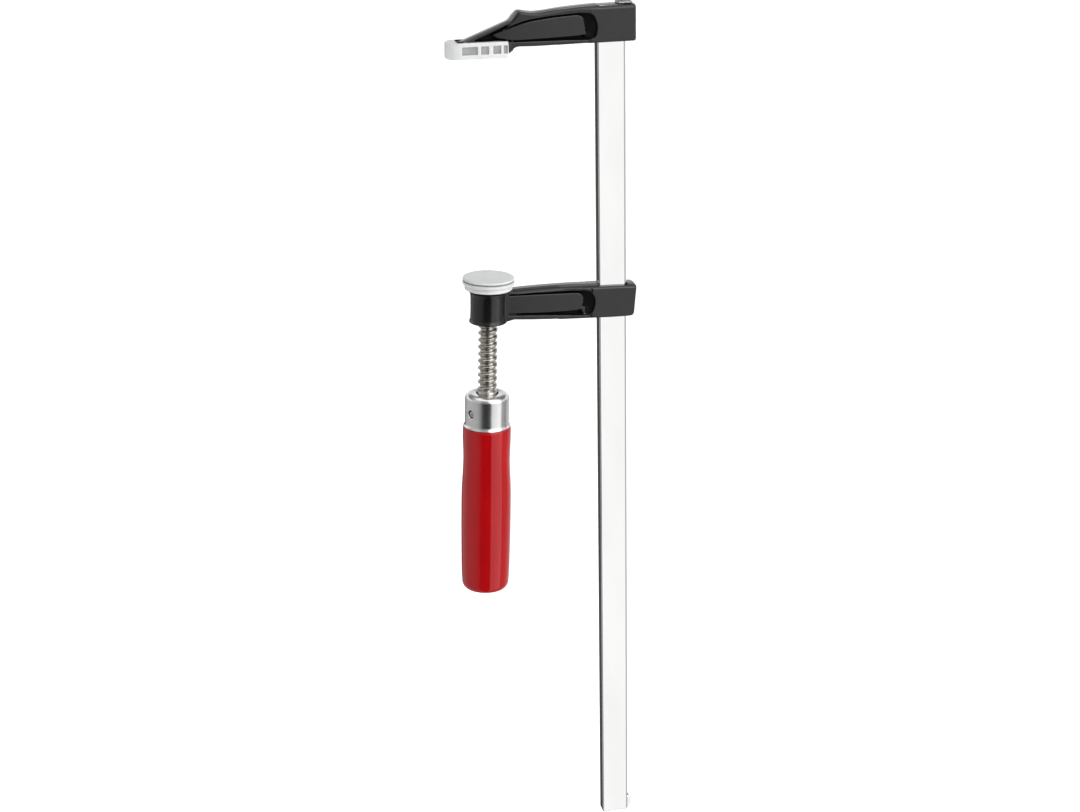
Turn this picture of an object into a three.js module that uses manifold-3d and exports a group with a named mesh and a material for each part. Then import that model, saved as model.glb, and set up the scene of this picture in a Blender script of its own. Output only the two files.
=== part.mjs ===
// F-clamp: a flat steel rail with a cast fixed jaw, and a cast arm that slides on the rail and carries
// a screw with a swivel plate, a ferrule and a turned wooden grip. Lengths are in millimetres.
// X runs from the screw to the rail, Y away from the viewer and Z up along the rail.
// The origin is on the fixed jaw's clamping face, above the foot of the screw.
import * as THREE from "three";
import { mergeVertices } from "three/addons/utils/BufferGeometryUtils.js";
import Module from "manifold-3d";

const wasm = await Module();
wasm.setup();

// Fits and fineness shared by all pieces
const fitGap = 0.3;
const seatGap = 0.1;
const overrun = 3;
const weldDistance = 0.001;
const cornerSteps = 4;
const roundSides = 36;
const screwSides = 24;
const halfTurn = Math.PI;
const fullTurn = 2 * Math.PI;

// Rail: drawn flat bar, its top end flush with the fixed jaw and hammered over it on the outer side,
// a stop lug staked out of its foot
const reach = 80;
const railWidth = 20;
const railThickness = 10;
const railEdge = 0.8;
const railDrop = 591;
const upsetBefore = 5.8;
const upsetReach = 4.9;
const upsetHeight = 1.8;
const upsetBevel = 0.7;
const stopHeight = 11;
const stopReach = 2.6;
const stopThickness = 7;
const stopCrestShare = 0.35;
const notchHeight = 2.4;
const notchDepth = 1;

// Both castings: cheeks round the rail, flanged arms, a thin web and a raised bare panel on it
const cheek = 3;
const armThickness = 14;
const webThickness = 5;
const panelThickness = 11.6;
const cornerRadius = 2.4;
const edgeRadius = 1.2;

// Fixed jaw: heights are above the clamping face, places are from the screw's axis
const padFloor = 2.3;
const padHeight = 4.9;
const padWidth = 16;
const padEndRadius = 7;
const noseReach = 20.5;
const padTail = 20.6;
const jawUnderLift = 3.3;
const headHeight = 25.6;
const headCap = 0.7;
const headBefore = 2.2;
const headAfter = 7.4;
const slopeFoot = 8.8;
const slopeRun = 19.6;
const slopeHeight = 23.6;
const knucklePlace = 25.6;
const knuckleHeight = 30;
const dipPlace = 35;
const dipHeight = 28;
const crownPlace = 52;
const crownHeight = 29.6;
const jawFlange = 3.9;
const jawPocketEnd = 79.2;
const jawPanelEnd = 69.4;
const jawPanelNose = 6.4;
const jawPocketNose = 3;
const panelMargin = 1.5;
const pocketRadius = 5;
const panelRadius = 4.5;

// Jaw cap: soft moulded boot over the fixed jaw's pad
const capHeight = 11;
const capWall = 1.7;
const capEndWall = 4.2;
const capTail = 17.2;
const capEndRadius = 9;
const windowSill = 0.6;
const windowTop = 8.5;
const windowDepth = 0.8;
const windowStarts = [-14.9, -1.9, 6.4, 13.6];
const windowEnds = [-4, 3.6, 12, 16.6];

// Sliding arm, in its own frame: the screw's axis is upright and zero is the boss's lower face
const toeIn = THREE.MathUtils.degToRad(2);
const armDrop = 188.3;
const bossRadius = 12.7;
const bossHeight = 22.8;
const bossCollar = 0.9;
const collarHeight = 1.6;
const mouthRadius = 8.4;
const armFoot = 2;
const armHeadFoot = 1.4;
const armRoot = 5;
const armShoulder = 18.8;
const armShoulderHeight = 23.5;
const armMiddle = 46;
const armTop = 24.8;
const armHeadBefore = 2;
const armHeadAfter = 7;
const armHeadDraft = 1.6;
const armFlange = 3.2;
const armPocketStart = 15.6;
const armPocketEnd = 75.4;
const armPanelEnd = 67.2;
const armPanelFoot = 7.4;

// Screw: rolled round-cornered thread, plain shank and tang below it, ball end above it
const lead = 5.2;
const crestRadius = 6.8;
const threadDepth = 1.6;
const crestShare = 0.28;
const rootShare = 0.24;
const threadSlack = 0.5;
const rowsPerLead = 6;
const threadTop = 21;
const threadFoot = -48.2;
const shankFoot = -61.5;
const tangRadius = 4.9;
const tangFoot = -120;
const tangChamfer = 0.6;
const neckRadius = 2.1;
const ballRadius = 3.6;
const ballPlace = 25.4;
const ballSteps = 5;

// Snap ring between the ball and the swivel plate
const wireRadius = 0.45;
const ringRadius = 3.7;
const ringOpening = THREE.MathUtils.degToRad(50);
const ringSteps = 20;
const wireSides = 8;

// Swivel plate and the soft cap over it
const tiltLimit = THREE.MathUtils.degToRad(6);
const plateRadius = 15.5;
const plateTop = 30.7;
const plateRim = 2.9;
const plateBevel = 0.6;
const hubRadius = 6;
const hubHeight = 2;
const plateCapRadius = 18.4;
const plateCapTopWall = 2.2;
const plateCapBand = 5;
const plateCapBevel = 0.7;
const grooveRadius = 16.5;
const grooveHeight = 1;
const rimRadius = 16.9;
const rimHeight = 2.5;

// Ferrule: drawn steel cup over the top of the grip
const ferruleTop = -52.8;
const ferruleFoot = -77.2;
const ferruleRadius = 15.85;
const ferruleWall = 1.5;
const ferruleHole = 8;
const shoulderRadius = 4;
const flareReach = 1.1;
const flareHeight = 1.7;

// Grip: turned hardwood. The bulge shares are of the grip's length and of its greatest radius.
const gripRadius = 18.2;
const gripFoot = -203.5;
const gripFace = 9;
const gripBulgeShares = [
  [0, 0.945],
  [0.02, 0.962],
  [0.1, 0.957],
  [0.2, 0.935],
  [0.29, 0.955],
  [0.37, 0.99],
  [0.46, 1],
  [0.62, 1],
  [0.76, 0.995],
  [0.85, 0.985],
];
const gripEndShare = 0.85;

// Cross pin through ferrule, grip and tang
const pinRadius = 2.4;
const pinPlace = -66.2;
const pinInset = 0.5;
const dimpleRadius = 3.6;
const dimpleDepth = 1;
const pinSides = 20;
const pinAngle = THREE.MathUtils.degToRad(-150);

// Sizes that follow from those above
const headFrom = reach - headBefore;
const headTo = reach + railWidth + headAfter;
const railMiddle = reach + railWidth / 2;
const padFace = padFloor + fitGap;
const jawUnder = padFace + jawUnderLift;
const headTop = jawUnder + headHeight;
const fixedHeadThickness = railThickness + 2 * (seatGap + cheek);
const slideHeadThickness = railThickness + 2 * (fitGap + cheek);
const socketRadius = ballRadius + fitGap;
const plateCapFoot = plateTop + fitGap + plateCapTopWall - plateCapBand - grooveHeight - rimHeight;

// Closed bodies, and the shown meshes made from them

function solid(geometry) {
  geometry.deleteAttribute("normal");
  geometry.deleteAttribute("uv");
  const merged = mergeVertices(geometry, weldDistance);
  return new wasm.Manifold(
    new wasm.Mesh({
      numProp: 3,
      vertProperties: merged.attributes.position.array,
      triVerts: new Uint32Array(merged.index.array),
    }),
  );
}

function node(name, body, look) {
  const { vertProperties, triVerts } = body.getMesh();
  const indexed = new THREE.BufferGeometry();
  indexed.setAttribute("position", new THREE.BufferAttribute(vertProperties, 3));
  indexed.setIndex(new THREE.BufferAttribute(triVerts, 1));
  const geometry = indexed.toNonIndexed();
  geometry.computeVertexNormals();
  const mesh = new THREE.Mesh(geometry, new THREE.MeshStandardMaterial(look));
  mesh.name = name;
  return mesh;
}

// A closed outline through corners [across, up, radius], each rounded to its radius.
function outline(corners) {
  const shape = new THREE.Shape();
  corners.forEach(([x, y, radius = 0], i) => {
    const corner = new THREE.Vector2(x, y);
    const before = new THREE.Vector2(...corners.at(i - 1));
    const after = new THREE.Vector2(...corners[(i + 1) % corners.length]);
    const start = before.sub(corner).setLength(radius).add(corner);
    const end = after.sub(corner).setLength(radius).add(corner);
    if (i === 0) shape.moveTo(start.x, start.y);
    else shape.lineTo(start.x, start.y);
    if (radius > 0) shape.quadraticCurveTo(x, y, end.x, end.y);
  });
  shape.closePath();
  return shape;
}

// An outline in the plane of the rail, thickened to both sides of it.
function slab(corners, thickness) {
  const geometry = new THREE.ExtrudeGeometry(outline(corners), {
    depth: thickness,
    bevelEnabled: false,
    curveSegments: cornerSteps,
  });
  geometry.translate(0, 0, -thickness / 2);
  geometry.rotateX(halfTurn / 2);
  return solid(geometry);
}

// An outline seen from above, raised from one height to another.
function column(corners, foot, top) {
  const geometry = new THREE.ExtrudeGeometry(outline(corners), {
    depth: top - foot,
    bevelEnabled: false,
    curveSegments: cornerSteps,
  });
  geometry.translate(0, 0, foot);
  return solid(geometry);
}

// A plain block between two opposite corners.
function block([x0, y0, z0], [x1, y1, z1]) {
  const geometry = new THREE.BoxGeometry(x1 - x0, y1 - y0, z1 - z0);
  geometry.translate((x0 + x1) / 2, (y0 + y1) / 2, (z0 + z1) / 2);
  return solid(geometry);
}

// A profile of [radius, height] points, from the axis round its outside or closed on itself, turned.
function turned(profile, sides) {
  const points = profile.map(([radius, height]) => new THREE.Vector2(radius, height));
  const geometry = new THREE.LatheGeometry(points, sides);
  geometry.rotateX(halfTurn / 2);
  return solid(geometry);
}

// Points of [radius, height] on an arc, between two angles from the horizontal.
function arc(centreRadius, centreHeight, radius, from, to, steps) {
  return Array.from({ length: steps + 1 }, (_, i) => {
    const angle = from + ((to - from) * i) / steps;
    return [centreRadius + radius * Math.cos(angle), centreHeight + radius * Math.sin(angle)];
  });
}

// Rail

function makeRail() {
  const half = railThickness / 2;
  const bar = column(
    [
      [reach, -half, railEdge],
      [reach + railWidth, -half, railEdge],
      [reach + railWidth, half, railEdge],
      [reach, half, railEdge],
    ],
    -railDrop,
    headTop,
  );
  const edge = reach + railWidth;
  const neck = block(
    [edge - upsetBefore + upsetBevel, -half + upsetBevel, headTop - overrun],
    [edge - upsetBevel, half - upsetBevel, headTop + upsetHeight / 2],
  );
  const spread = new THREE.ExtrudeGeometry(
    outline([
      [edge - upsetBefore + upsetBevel, -half + upsetBevel, railEdge],
      [edge + upsetReach - upsetBevel, -half + upsetBevel, railEdge],
      [edge + upsetReach - upsetBevel, half - upsetBevel, railEdge],
      [edge - upsetBefore + upsetBevel, half - upsetBevel, railEdge],
    ]),
    {
      depth: upsetHeight - 2 * upsetBevel + seatGap,
      bevelThickness: upsetBevel,
      bevelSize: upsetBevel,
      bevelSegments: 2,
      curveSegments: cornerSteps,
    },
  );
  spread.translate(0, 0, headTop + seatGap + upsetBevel);
  const stop = slab(
    [
      [edge - overrun, -railDrop],
      [edge, -railDrop],
      [edge + stopReach, -railDrop + stopHeight * stopCrestShare, edgeRadius],
      [edge + stopReach * (1 - stopCrestShare), -railDrop + stopHeight],
      [edge - overrun, -railDrop + stopHeight],
    ],
    stopThickness,
  );
  const notch = slab(
    [
      [edge - notchDepth, -railDrop + stopHeight],
      [edge + overrun, -railDrop + stopHeight],
      [edge + overrun, -railDrop + stopHeight + notchHeight],
      [edge, -railDrop + stopHeight + notchHeight],
    ],
    stopThickness,
  );
  return bar.subtract(notch).add(neck).add(solid(spread)).add(stop);
}

// Fixed jaw

function makeFixedJaw() {
  const arm = slab(
    [
      [-noseReach + padEndRadius / 2, padFace],
      [-noseReach + padEndRadius / 2, slopeFoot],
      [slopeRun, slopeHeight, edgeRadius],
      [knucklePlace - 2 * edgeRadius, knuckleHeight - edgeRadius, edgeRadius],
      [knucklePlace, knuckleHeight, edgeRadius],
      [dipPlace, dipHeight, 2 * cornerRadius],
      [crownPlace, crownHeight, 2 * cornerRadius],
      [headFrom, headTop - headCap, edgeRadius],
      [headFrom + cornerRadius, headTop - headCap],
      [headFrom + cornerRadius, jawUnder],
      [padTail + jawUnderLift / 2, jawUnder + headCap],
      [padTail, padFace + edgeRadius],
      [padTail - edgeRadius, padFace],
    ],
    armThickness,
  );
  const pad = column(
    [
      [-noseReach, -padWidth / 2, padEndRadius],
      [padTail - edgeRadius, -padWidth / 2],
      [padTail - edgeRadius, padWidth / 2],
      [-noseReach, padWidth / 2, padEndRadius],
    ],
    padFace,
    padFace + padHeight,
  );
  const head = slab(
    [
      [headFrom, jawUnder, edgeRadius],
      [headTo, jawUnder, cornerRadius],
      [headTo, headTop, cornerRadius],
      [headFrom, headTop, edgeRadius],
    ],
    fixedHeadThickness,
  );
  const pocketFoot = jawUnder + jawFlange;
  const pocket = slab(
    [
      [-jawPocketNose, pocketFoot],
      [jawPocketEnd, pocketFoot, pocketRadius],
      [jawPocketEnd, headTop - jawFlange, pocketRadius],
      [crownPlace, crownHeight - jawFlange, cornerRadius],
      [dipPlace, dipHeight - jawFlange, cornerRadius],
      [slopeRun, slopeHeight - jawFlange],
    ],
    fixedHeadThickness + overrun,
  );
  const panel = slab(
    [
      [jawPanelNose, pocketFoot + panelMargin],
      [jawPanelEnd, pocketFoot + panelMargin, panelRadius],
      [jawPanelEnd, headTop - jawFlange - panelMargin, panelRadius],
      [crownPlace, crownHeight - jawFlange - panelMargin, cornerRadius],
      [dipPlace, dipHeight - jawFlange - panelMargin, cornerRadius],
      [jawPanelNose, pocketFoot + 2 * panelMargin, edgeRadius],
    ],
    panelThickness,
  );
  const web = slab(
    [
      [-jawPocketNose - edgeRadius, pocketFoot - edgeRadius],
      [jawPocketEnd + edgeRadius, pocketFoot - edgeRadius],
      [jawPocketEnd + edgeRadius, headTop - jawFlange],
      [crownPlace, crownHeight - jawFlange + edgeRadius],
      [dipPlace, dipHeight - jawFlange + edgeRadius],
      [slopeRun, slopeHeight - jawFlange + edgeRadius],
    ],
    webThickness,
  );
  const slot = block(
    [reach - seatGap, -railThickness / 2 - seatGap, jawUnder - overrun],
    [reach + railWidth + seatGap, railThickness / 2 + seatGap, headTop + overrun],
  );
  return arm.add(pad).add(head).subtract(pocket).add(panel).add(web).subtract(slot);
}

// Jaw cap

function makeJawCap() {
  const outer = padWidth / 2 + fitGap + capWall;
  const inner = padWidth / 2 + fitGap;
  const lip = armThickness / 2 + fitGap;
  const end = -noseReach - fitGap;
  const lipEnd = end + padEndRadius / 2;
  const shell = column(
    [
      [end - capEndWall, -outer, capEndRadius],
      [capTail, -outer, edgeRadius / 2],
      [capTail, outer, edgeRadius / 2],
      [end - capEndWall, outer, capEndRadius],
    ],
    0,
    capHeight,
  );
  const padRoom = column(
    [
      [end, -inner, padEndRadius],
      [capTail + overrun, -inner],
      [capTail + overrun, inner],
      [end, inner, padEndRadius],
    ],
    padFloor,
    padFace + padHeight + fitGap,
  );
  const armRoom = column(
    [
      [lipEnd, -lip, edgeRadius],
      [capTail + overrun, -lip],
      [capTail + overrun, lip],
      [lipEnd, lip, edgeRadius],
    ],
    padFloor,
    capHeight + overrun,
  );
  return windowStarts.reduce(
    (cap, start, i) =>
      [-1, 1].reduce(
        (side, sign) =>
          side.subtract(
            block(
              [start, Math.min(sign * (outer - windowDepth), sign * (outer + overrun)), padFloor + windowSill],
              [windowEnds[i], Math.max(sign * (outer - windowDepth), sign * (outer + overrun)), windowTop],
            ),
          ),
        cap,
      ),
    shell.subtract(padRoom).subtract(armRoom),
  );
}

// Screw and nut thread

// The thread's radius at an angle and a height; slack widens the crest and the radius for the nut.
function threadRadius(angle, height, slack) {
  const turns = height / lead - angle / fullTurn;
  const fromCrest = Math.abs(turns - Math.round(turns)) * 2;
  const eased = fromCrest - slack / (lead / 2) - crestShare;
  const sunk = THREE.MathUtils.clamp(eased / (1 - crestShare - rootShare), 0, 1);
  return crestRadius + slack - threadDepth * sunk;
}

// A closed body whose radius is a formula of angle and height.
function formed(foot, top, radiusAt) {
  const rows = Math.round(((top - foot) * rowsPerLead) / lead);
  const positions = [0, 0, foot, 0, 0, top];
  const triangles = [];
  const at = (row, side) => 2 + row * screwSides + (side % screwSides);
  for (let row = 0; row <= rows; row += 1) {
    const height = foot + ((top - foot) * row) / rows;
    for (let side = 0; side < screwSides; side += 1) {
      const angle = (fullTurn * side) / screwSides;
      const radius = radiusAt(angle, height);
      positions.push(radius * Math.cos(angle), radius * Math.sin(angle), height);
    }
  }
  for (let side = 0; side < screwSides; side += 1) {
    triangles.push(0, at(0, side + 1), at(0, side));
    triangles.push(1, at(rows, side), at(rows, side + 1));
    for (let row = 0; row < rows; row += 1) {
      triangles.push(at(row, side), at(row, side + 1), at(row + 1, side + 1));
      triangles.push(at(row, side), at(row + 1, side + 1), at(row + 1, side));
    }
  }
  const geometry = new THREE.BufferGeometry();
  geometry.setAttribute("position", new THREE.Float32BufferAttribute(positions, 3));
  geometry.setIndex(triangles);
  return solid(geometry);
}

// Sliding arm

function makeSlidingArm() {
  const boss = turned(
    [
      [0, 0],
      [bossRadius + bossCollar - edgeRadius / 2, 0],
      [bossRadius + bossCollar, edgeRadius / 2],
      [bossRadius, collarHeight],
      [bossRadius, bossHeight - collarHeight],
      [bossRadius + bossCollar, bossHeight - edgeRadius / 2],
      [bossRadius + bossCollar - edgeRadius / 2, bossHeight],
      [0, bossHeight],
    ],
    roundSides,
  );
  const railInner = reach - armTop * Math.tan(toeIn);
  const from = railInner - armHeadBefore;
  const to = reach + railWidth + armHeadAfter;
  const arm = slab(
    [
      [armRoot, armFoot],
      [from + edgeRadius, armHeadFoot],
      [from + edgeRadius, armTop],
      [armMiddle, armTop, 2 * cornerRadius],
      [armShoulder, armShoulderHeight, 2 * edgeRadius],
      [bossRadius, bossHeight],
      [armRoot, bossHeight],
    ],
    armThickness,
  );
  const head = slab(
    [
      [from, armHeadFoot, edgeRadius],
      [to - armHeadDraft, armHeadFoot, cornerRadius],
      [to, armTop, cornerRadius],
      [from, armTop, edgeRadius],
    ],
    slideHeadThickness,
  );
  const pocket = slab(
    [
      [armPocketStart, armFoot + armFlange],
      [armPocketEnd, armHeadFoot + armFlange, pocketRadius],
      [armPocketEnd, armTop - armFlange, pocketRadius],
      [armPocketStart, armShoulderHeight - armFlange],
    ],
    slideHeadThickness + overrun,
  );
  const panel = slab(
    [
      [armRoot, armPanelFoot],
      [armPanelEnd, armPanelFoot, panelRadius],
      [armPanelEnd, armTop - armFlange - panelMargin, panelRadius],
      [armRoot, armShoulderHeight - armFlange - panelMargin],
    ],
    panelThickness,
  );
  const web = slab(
    [
      [armPocketStart - edgeRadius, armFoot + edgeRadius],
      [armPocketEnd + edgeRadius, armFoot + edgeRadius],
      [armPocketEnd + edgeRadius, armTop - edgeRadius],
      [armPocketStart - edgeRadius, bossHeight - edgeRadius],
    ],
    webThickness,
  );
  const slot = block(
    [railInner - fitGap, -railThickness / 2 - fitGap, -overrun],
    [reach + railWidth + fitGap, railThickness / 2 + fitGap, armTop + overrun],
  );
  const nut = formed(-lead, bossHeight + lead, (angle, height) => threadRadius(angle, height, threadSlack));
  const mouth = (height, direction) =>
    turned(
      direction > 0
        ? [
            [0, height - mouthRadius],
            [mouthRadius, height],
            [mouthRadius, height + overrun],
            [0, height + overrun],
          ]
        : [
            [0, height - overrun],
            [mouthRadius, height - overrun],
            [mouthRadius, height],
            [0, height + mouthRadius],
          ],
      screwSides,
    );
  return arm
    .add(head)
    .subtract(pocket)
    .add(panel)
    .add(web)
    .add(boss)
    .subtract(slot)
    .subtract(nut)
    .subtract(mouth(bossHeight, 1))
    .subtract(mouth(0, -1));
}

// Spindle: tang, shank, thread, neck and grooved ball

function makeSpindle() {
  const runOut = (height) => THREE.MathUtils.clamp((height - threadFoot) / lead, 0, 1);
  const thread = formed(
    threadFoot,
    threadTop,
    (angle, height) => crestRadius - (crestRadius - threadRadius(angle, height, 0)) * runOut(height),
  );
  const shank = turned(
    [
      [0, tangFoot],
      [tangRadius - tangChamfer, tangFoot],
      [tangRadius, tangFoot + tangChamfer],
      [tangRadius, shankFoot],
      [crestRadius, shankFoot + tangChamfer],
      [crestRadius, threadFoot],
      [0, threadFoot],
    ],
    screwSides,
  );
  const groove = wireRadius + fitGap;
  const grooveAngle = Math.asin(groove / ballRadius);
  const neckAngle = -Math.acos(neckRadius / ballRadius);
  const ball = turned(
    [
      [0, threadTop - overrun],
      [neckRadius, threadTop - overrun],
      ...arc(0, ballPlace, ballRadius, neckAngle, -grooveAngle, ballSteps),
      [ringRadius - groove, ballPlace - groove],
      [ringRadius - groove, ballPlace + groove],
      ...arc(0, ballPlace, ballRadius, grooveAngle, halfTurn / 2, ballSteps).slice(0, -1),
      [0, ballPlace + ballRadius],
    ],
    screwSides,
  );
  return thread.add(shank).add(ball).subtract(pinCutter(pinRadius + fitGap));
}

// Snap ring

function makeSnapRing() {
  const sweep = fullTurn - ringOpening;
  const route = new THREE.EllipseCurve(0, 0, ringRadius, ringRadius, ringOpening / 2, ringOpening / 2 + sweep);
  const points = route.getPoints(ringSteps).map(({ x, y }) => new THREE.Vector3(x, y, ballPlace));
  const section = new THREE.Shape();
  section.absarc(0, 0, wireRadius, 0, fullTurn);
  const geometry = new THREE.ExtrudeGeometry(section, {
    steps: ringSteps,
    curveSegments: wireSides / 2,
    extrudePath: new THREE.CatmullRomCurve3(points),
  });
  return solid(geometry);
}

// Swivel plate

function makePressurePlate() {
  const hubFoot = plateTop - plateRim - hubHeight - hubHeight - plateBevel;
  const groove = wireRadius + fitGap + (ringRadius + wireRadius) * Math.sin(tiltLimit);
  const grooveAngle = Math.asin(groove / socketRadius);
  const mouthAngle = Math.asin((hubFoot - ballPlace) / socketRadius);
  return turned(
    [
      ...arc(0, ballPlace, socketRadius, halfTurn / 2, grooveAngle, ballSteps).map(([r, z], i) => [i ? r : 0, z]),
      [ringRadius + wireRadius + fitGap, ballPlace + groove],
      [ringRadius + wireRadius + fitGap, ballPlace - groove],
      ...arc(0, ballPlace, socketRadius, -grooveAngle, mouthAngle, ballSteps),
      [hubRadius, hubFoot],
      [hubRadius, hubFoot + hubHeight],
      [plateRadius - plateBevel, plateTop - plateRim - plateBevel],
      [plateRadius, plateTop - plateRim],
      [plateRadius, plateTop - plateBevel],
      [plateRadius - plateBevel, plateTop],
      [0, plateTop],
    ],
    roundSides,
  );
}

// Cap of the swivel plate

function makePlateCap() {
  const inner = plateRadius + fitGap;
  const ceiling = plateTop + fitGap;
  const top = ceiling + plateCapTopWall;
  const bandFoot = top - plateCapBand;
  return turned(
    [
      [0, ceiling],
      [inner, ceiling],
      [inner, plateCapFoot],
      [rimRadius, plateCapFoot],
      [rimRadius, plateCapFoot + rimHeight],
      [grooveRadius, bandFoot - grooveHeight / 2],
      [plateCapRadius - plateCapBevel, bandFoot],
      [plateCapRadius, bandFoot + plateCapBevel],
      [plateCapRadius, top - plateCapBevel],
      [plateCapRadius - plateCapBevel, top],
      [0, top],
    ],
    roundSides,
  );
}

// Ferrule

function makeFerrule() {
  const innerShoulder = shoulderRadius - ferruleWall;
  const shoulderRing = ferruleRadius - shoulderRadius;
  const cup = turned(
    [
      [ferruleHole, ferruleTop - ferruleWall],
      ...arc(shoulderRing, ferruleTop - shoulderRadius, innerShoulder, halfTurn / 2, 0, cornerSteps),
      [ferruleRadius - ferruleWall, ferruleFoot + flareHeight],
      [ferruleRadius - ferruleWall + flareReach, ferruleFoot],
      [ferruleRadius + flareReach, ferruleFoot],
      [ferruleRadius, ferruleFoot + flareHeight],
      ...arc(shoulderRing, ferruleTop - shoulderRadius, shoulderRadius, 0, halfTurn / 2, cornerSteps),
      [ferruleHole, ferruleTop],
      [ferruleHole, ferruleTop - ferruleWall],
    ],
    roundSides,
  );
  return cup.subtract(pinCutter(pinRadius + fitGap)).subtract(dimple(1)).subtract(dimple(-1));
}

// A cylinder along the cross pin, which crosses the screw's axis.
function pinCutter(radius) {
  return pinBar(radius, ferruleRadius + overrun);
}

function pinBar(radius, half) {
  const geometry = new THREE.CylinderGeometry(radius, radius, 2 * half, pinSides);
  geometry.rotateZ(halfTurn / 2);
  geometry.rotateZ(pinAngle);
  geometry.translate(0, 0, pinPlace);
  return solid(geometry);
}

// The sunk mouth of the pin's hole on one side of the ferrule.
function dimple(side) {
  const from = ferruleRadius - dimpleDepth;
  const geometry = new THREE.CylinderGeometry(dimpleRadius + overrun, pinRadius, dimpleDepth + overrun, pinSides);
  geometry.translate(0, from + (dimpleDepth + overrun) / 2, 0);
  geometry.rotateZ(side * (halfTurn / 2));
  geometry.rotateZ(pinAngle);
  geometry.translate(0, 0, pinPlace);
  return solid(geometry);
}

// Grip

function makeGrip() {
  const shoulder = ferruleFoot - fitGap;
  const length = shoulder - gripFoot;
  const bulge = gripBulgeShares.map(([down, out]) => [gripRadius * out, shoulder - length * down]);
  const [endRadius, endHeight] = bulge.at(-1);
  const rounding = Array.from({ length: 2 * cornerSteps }, (_, i) => {
    const angle = ((halfTurn / 2) * (i + 1)) / (2 * cornerSteps);
    return [
      gripFace + (endRadius - gripFace) * Math.cos(angle),
      endHeight - length * (1 - gripEndShare) * Math.sin(angle),
    ];
  });
  const tenon = ferruleRadius - ferruleWall - fitGap;
  const tenonTop = ferruleTop - ferruleWall - fitGap;
  const tenonChamfer = shoulderRadius - ferruleWall;
  return turned(
    [
      [0, gripFoot],
      ...rounding.reverse(),
      ...bulge.reverse(),
      [tenon, shoulder],
      [tenon, tenonTop - tenonChamfer],
      [tenon - tenonChamfer, tenonTop],
      [ferruleHole, tenonTop],
      [ferruleHole, shankFoot - fitGap],
      [tangRadius + fitGap, shankFoot - fitGap],
      [tangRadius + fitGap, tangFoot - fitGap],
      [0, tangFoot - fitGap],
    ],
    roundSides,
  ).subtract(pinCutter(pinRadius + fitGap));
}

// Assembly: what the arm carries is in one group, turned by the toe-in and lowered on the rail

const steel = { color: 0xc9cbcc, roughness: 0.3, metalness: 1 };
const blackPaint = { color: 0x1b1b1d, roughness: 0.42, metalness: 0 };
const clearPlastic = { color: 0xe4e5e6, roughness: 0.35, metalness: 0 };

const clamp = new THREE.Group();
clamp.add(
  node("rail", makeRail(), { color: 0xe6e7e8, roughness: 0.25, metalness: 1 }),
  node("fixed_jaw", makeFixedJaw(), blackPaint),
  node("jaw_cap", makeJawCap(), clearPlastic),
);

const carried = new THREE.Group();
carried.add(
  node("sliding_arm", makeSlidingArm(), blackPaint),
  node("spindle", makeSpindle(), steel),
  node("snap_ring", makeSnapRing(), steel),
  node("pressure_plate", makePressurePlate(), steel),
  node("plate_cap", makePlateCap(), clearPlastic),
  node("ferrule", makeFerrule(), steel),
  node("grip", makeGrip(), { color: 0xa00c14, roughness: 0.18, metalness: 0 }),
  node("cross_pin", pinBar(pinRadius, ferruleRadius - pinInset), steel),
);
carried.rotation.y = toeIn;
carried.position.z = -armDrop;
clamp.add(carried);

export default clamp;
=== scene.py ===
import math

import bmesh
import bpy
from mathutils import Matrix, Vector, noise


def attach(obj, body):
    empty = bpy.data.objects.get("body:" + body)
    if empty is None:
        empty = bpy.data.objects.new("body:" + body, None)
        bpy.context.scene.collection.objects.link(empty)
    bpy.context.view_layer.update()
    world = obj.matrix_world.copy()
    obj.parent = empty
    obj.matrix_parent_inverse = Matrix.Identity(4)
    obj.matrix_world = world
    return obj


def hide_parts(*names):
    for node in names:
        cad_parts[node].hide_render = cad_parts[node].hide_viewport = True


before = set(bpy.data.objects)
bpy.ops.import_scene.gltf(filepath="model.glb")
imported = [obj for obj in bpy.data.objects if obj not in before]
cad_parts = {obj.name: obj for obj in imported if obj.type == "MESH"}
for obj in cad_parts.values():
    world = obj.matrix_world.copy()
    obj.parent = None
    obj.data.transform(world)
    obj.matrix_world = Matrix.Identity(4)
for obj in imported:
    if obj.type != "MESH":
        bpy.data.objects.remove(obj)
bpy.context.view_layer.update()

# Rail: one length of bright drawn flat steel, its outer edges bevelled, with a shallow channel down each
# wide face. Its top end is flush with the fixed jaw and hammered over it on the outer side, and a stop is
# staked out of its foot.

MM = 0.001
rail_inner = 80
rail_outer = 100
rail_half = 5
rail_foot = -591
jaw_top = 31.5
rail_bevel = 1.7
channel_inner, channel_outer = 83.4, 96.6
channel_flank = 1
channel_depth = 0.06


def rounded(corners, steps=5):
    """A closed outline through corners of (across, up, radius), each rounded to its radius."""
    outline = []
    for i, corner in enumerate(corners):
        here = Vector(corner[:2])
        if len(corner) < 3:
            outline.append(here)
            continue
        before = Vector(corners[i - 1][:2]) - here
        after = Vector(corners[(i + 1) % len(corners)][:2]) - here
        start = here + before.normalized() * corner[2]
        end = here + after.normalized() * corner[2]
        for k in range(steps + 1):
            t = k / steps
            outline.append(start * (1 - t) ** 2 + here * 2 * t * (1 - t) + end * t * t)
    return outline


def grown(outline, by):
    """The same outline moved outward by a distance, or inward where that is negative."""
    count = len(outline)
    area = sum(outline[i - 1].cross(outline[i]) for i in range(count))
    side = 1 if area > 0 else -1
    moved = []
    for i, point in enumerate(outline):
        before = (point - outline[i - 1]).normalized()
        after = (outline[(i + 1) % count] - point).normalized()
        across = Vector((before.y + after.y, -before.x - after.x)) * side
        moved.append(point + across * by / max(0.6, 1 + before.dot(after)))
    return moved


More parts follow.
